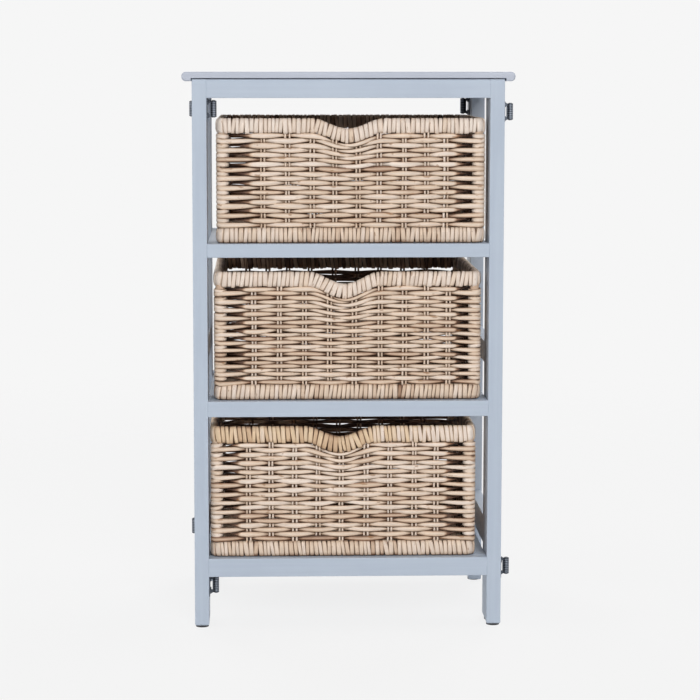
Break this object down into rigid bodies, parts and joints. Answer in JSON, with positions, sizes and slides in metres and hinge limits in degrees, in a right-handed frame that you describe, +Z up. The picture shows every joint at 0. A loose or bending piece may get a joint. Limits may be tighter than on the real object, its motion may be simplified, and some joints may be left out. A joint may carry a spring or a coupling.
{
  "type": "basket storage chest",
  "caption": "Free-standing storage chest: a painted folding wooden frame with a tabletop and drop-in shelves that carry pull-out wicker baskets.",
  "frame": {"origin": "on the floor, under the middle of the chest", "axes": "+Z up, -Y towards the front, +X to the right seen from the front"},
  "size_m": [0.46, 0.34, 0.78],
  "materials": {
    "frame_paint": "satin paint on wood",
    "tabletop_paint": "satin paint on wood",
    "shelf_paint": "satin paint on board",
    "hinge_steel": "dark zinc",
    "beech": "bare wood",
    "glide_plastic": "matt",
    "rattan_weave": "natural rattan",
    "rattan_border": "natural rattan"
  },
  "bodies": {
    "frame": {"bottom_shelf": "shelf_paint", "bottom_shelf_ledges": "frame_paint", "foot_glides": "glide_plastic", "front_bottom_rail": "frame_paint", "front_left_hinge_leg_leaves": "hinge_steel", "front_left_hinge_post_leaves": "hinge_steel", "front_left_leg": "frame_paint", "front_middle_rail": "frame_paint", "front_right_hinge_leg_leaves": "hinge_steel", "front_right_hinge_post_leaves": "hinge_steel", "front_right_leg": "frame_paint", "front_top_rail": "frame_paint", "front_upper_rail": "frame_paint", "hinge_pins": "hinge_steel", "hinge_screws": "hinge_steel", "ladder_dowels": "beech", "left_bottom_side_rail": "frame_paint", "left_front_post": "frame_paint", "left_middle_side_rail": "frame_paint", "left_rear_post": "frame_paint", "left_top_side_rail": "frame_paint", "middle_shelf": "shelf_paint", "middle_shelf_ledges": "frame_paint", "rear_bottom_rail": "frame_paint", "rear_left_hinge_leg_leaves": "hinge_steel", "rear_left_hinge_post_leaves": "hinge_steel", "rear_left_leg": "frame_paint", "rear_middle_rail": "frame_paint", "rear_right_hinge_leg_leaves": "hinge_steel", "rear_right_hinge_post_leaves": "hinge_steel", "rear_right_leg": "frame_paint", "rear_top_rail": "frame_paint", "rear_upper_rail": "frame_paint", "right_bottom_side_rail": "frame_paint", "right_front_post": "frame_paint", "right_middle_side_rail": "frame_paint", "right_rear_post": "frame_paint", "right_top_side_rail": "frame_paint", "side_ladder_dowels": "beech", "tabletop": "tabletop_paint", "tabletop_pins": "beech", "upper_shelf": "shelf_paint", "upper_shelf_ledges": "frame_paint"},
    "upper_basket": {"upper_basket_base": "rattan_weave", "upper_basket_foot": "rattan_border", "upper_basket_rim": "rattan_border", "upper_basket_wall": "rattan_weave"},
    "middle_basket": {"middle_basket_base": "rattan_weave", "middle_basket_foot": "rattan_border", "middle_basket_rim": "rattan_border", "middle_basket_wall": "rattan_weave"},
    "bottom_basket": {"bottom_basket_base": "rattan_weave", "bottom_basket_foot": "rattan_border", "bottom_basket_rim": "rattan_border", "bottom_basket_wall": "rattan_weave"}
  },
  "joints": [
    {"name": "upper_basket_slide", "type": "slide", "parent": "frame", "child": "upper_basket", "axis": [0, -1, 0], "range_m": [0, 0.26]},
    {"name": "middle_basket_slide", "type": "slide", "parent": "frame", "child": "middle_basket", "axis": [0, -1, 0], "range_m": [0, 0.26]},
    {"name": "bottom_basket_slide", "type": "slide", "parent": "frame", "child": "bottom_basket", "axis": [0, -1, 0], "range_m": [0, 0.26]}
  ]
}
